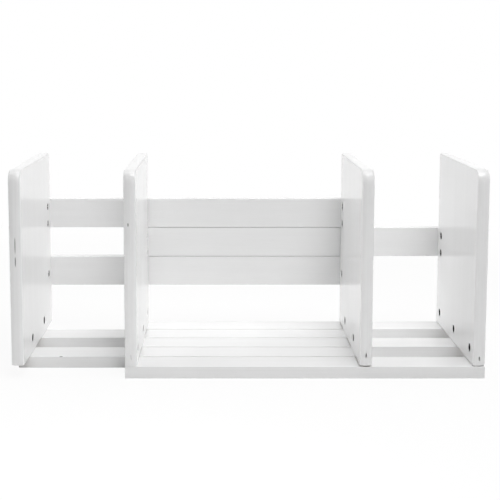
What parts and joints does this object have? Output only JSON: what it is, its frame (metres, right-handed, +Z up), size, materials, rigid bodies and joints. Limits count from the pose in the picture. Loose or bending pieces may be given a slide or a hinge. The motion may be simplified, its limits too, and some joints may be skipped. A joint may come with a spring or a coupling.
{
  "type": "expandable desktop bookshelf",
  "caption": "White-painted wooden desktop bookshelf: interleaved slatted units with upright end panels that slide apart to lengthen the shelf.",
  "frame": {"origin": "middle of the footprint on the desk, with the right unit pulled out as in the picture", "axes": "+X to the right along the sliding direction, front towards -Y, +Z up"},
  "size_m": [0.4704, 0.1822, 0.209],
  "materials": {
    "white_paint": "satin white paint over fine-grained solid wood",
    "hardware": "black-oxide steel"
  },
  "bodies": {
    "left_unit": {"left_outer_panel": "white_paint", "right_inner_panel": "white_paint", "base_slat_2": "white_paint", "base_slat_4": "white_paint", "lower_back_slat": "white_paint", "upper_back_slat": "white_paint", "left_outer_base_bolts": "hardware", "left_outer_base_nuts": "hardware", "left_outer_lower_slat_bolts": "hardware", "left_outer_lower_slat_nuts": "hardware", "left_outer_upper_slat_bolts": "hardware", "left_outer_upper_slat_nuts": "hardware", "right_inner_base_bolts": "hardware", "right_inner_base_nuts": "hardware", "right_inner_lower_slat_bolts": "hardware", "right_inner_lower_slat_nuts": "hardware", "right_inner_upper_slat_bolts": "hardware", "right_inner_upper_slat_nuts": "hardware"},
    "right_unit": {"left_inner_panel": "white_paint", "right_outer_panel": "white_paint", "base_slat_1": "white_paint", "base_slat_3": "white_paint", "base_slat_5": "white_paint", "middle_back_slat": "white_paint", "left_inner_base_bolts": "hardware", "left_inner_base_nuts": "hardware", "left_inner_middle_slat_bolts": "hardware", "left_inner_middle_slat_nuts": "hardware", "right_outer_base_bolts": "hardware", "right_outer_base_nuts": "hardware", "right_outer_middle_slat_bolts": "hardware", "right_outer_middle_slat_nuts": "hardware"}
  },
  "joints": [
    {"name": "extension", "type": "slide", "parent": "left_unit", "child": "right_unit", "axis": [1, 0, 0], "range_m": [-0.099, 0.221]}
  ]
}
